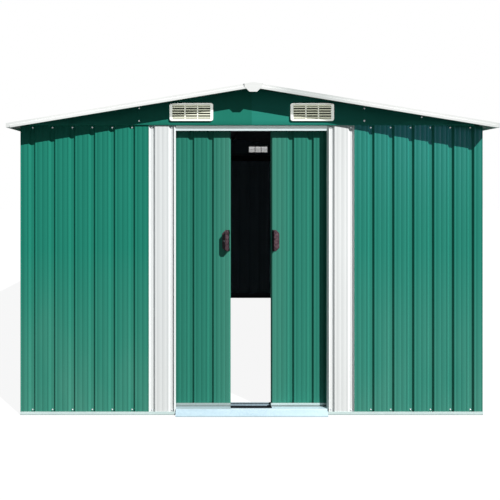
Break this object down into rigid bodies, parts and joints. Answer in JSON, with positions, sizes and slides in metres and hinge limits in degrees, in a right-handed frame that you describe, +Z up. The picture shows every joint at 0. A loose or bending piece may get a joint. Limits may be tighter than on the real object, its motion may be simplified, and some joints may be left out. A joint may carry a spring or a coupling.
{
  "type": "metal storage shed",
  "caption": "Low gable metal garden shed with folded sheet walls, white trims, louvred gable vents and a pair of sliding doors on a top rail and a floor track.",
  "frame": {"origin": "on the ground at the middle of the roof's plan", "axes": "+Z up; the doors face -Y; +X to the right seen from the front"},
  "size_m": [2.57, 2.98, 1.7726],
  "materials": {
    "green_sheet": "green coil-coated steel sheet, satin",
    "white_sheet": "off-white coil-coated steel sheet, satin",
    "galvanised": "bare galvanised steel with a fine spangle",
    "dark_coat": "dark lacquered steel, matt",
    "vent_plastic": "cream moulded plastic",
    "handle_plastic": "dark brown moulded plastic"
  },
  "bodies": {
    "shed": {"floor_rail_front": "galvanised", "floor_rail_back": "galvanised", "floor_rail_left": "galvanised", "floor_rail_right": "galvanised", "door_sill": "galvanised", "door_track_bottom": "galvanised", "front_wall_left": "green_sheet", "front_wall_right": "green_sheet", "door_post_left": "white_sheet", "door_post_right": "white_sheet", "left_wall_front": "green_sheet", "left_wall_rear": "green_sheet", "right_wall_front": "green_sheet", "right_wall_rear": "green_sheet", "back_wall_left": "green_sheet", "back_wall_middle": "green_sheet", "back_wall_right": "green_sheet", "door_header": "white_sheet", "top_rail_back": "dark_coat", "side_top_rails": "dark_coat", "mid_rails": "dark_coat", "gable_front_left": "green_sheet", "gable_front_right": "green_sheet", "gable_back_left": "green_sheet", "gable_back_right": "green_sheet", "front_vents": "vent_plastic", "back_vents": "vent_plastic", "roof_left_front": "green_sheet", "roof_left_rear": "green_sheet", "roof_right_front": "green_sheet", "roof_right_rear": "green_sheet", "ridge_beam": "dark_coat", "roof_purlins": "dark_coat", "ridge_cap": "white_sheet", "verge_trims_front": "white_sheet", "verge_trims_back": "white_sheet", "eave_trims": "white_sheet"},
    "left_door": {"door_leaf_left": "green_sheet", "door_bottom_rail_left": "galvanised", "door_hangers_left": "galvanised", "door_handle_left": "handle_plastic"},
    "right_door": {"door_leaf_right": "green_sheet", "door_bottom_rail_right": "galvanised", "door_hangers_right": "galvanised", "door_handle_right": "handle_plastic"}
  },
  "joints": [
    {"name": "left_door_slide", "type": "slide", "parent": "shed", "child": "left_door", "axis": [-1, 0, 0], "range_m": [-0.1075, 0.245]},
    {"name": "right_door_slide", "type": "slide", "parent": "shed", "child": "right_door", "axis": [1, 0, 0], "range_m": [-0.1075, 0.245]}
  ]
}
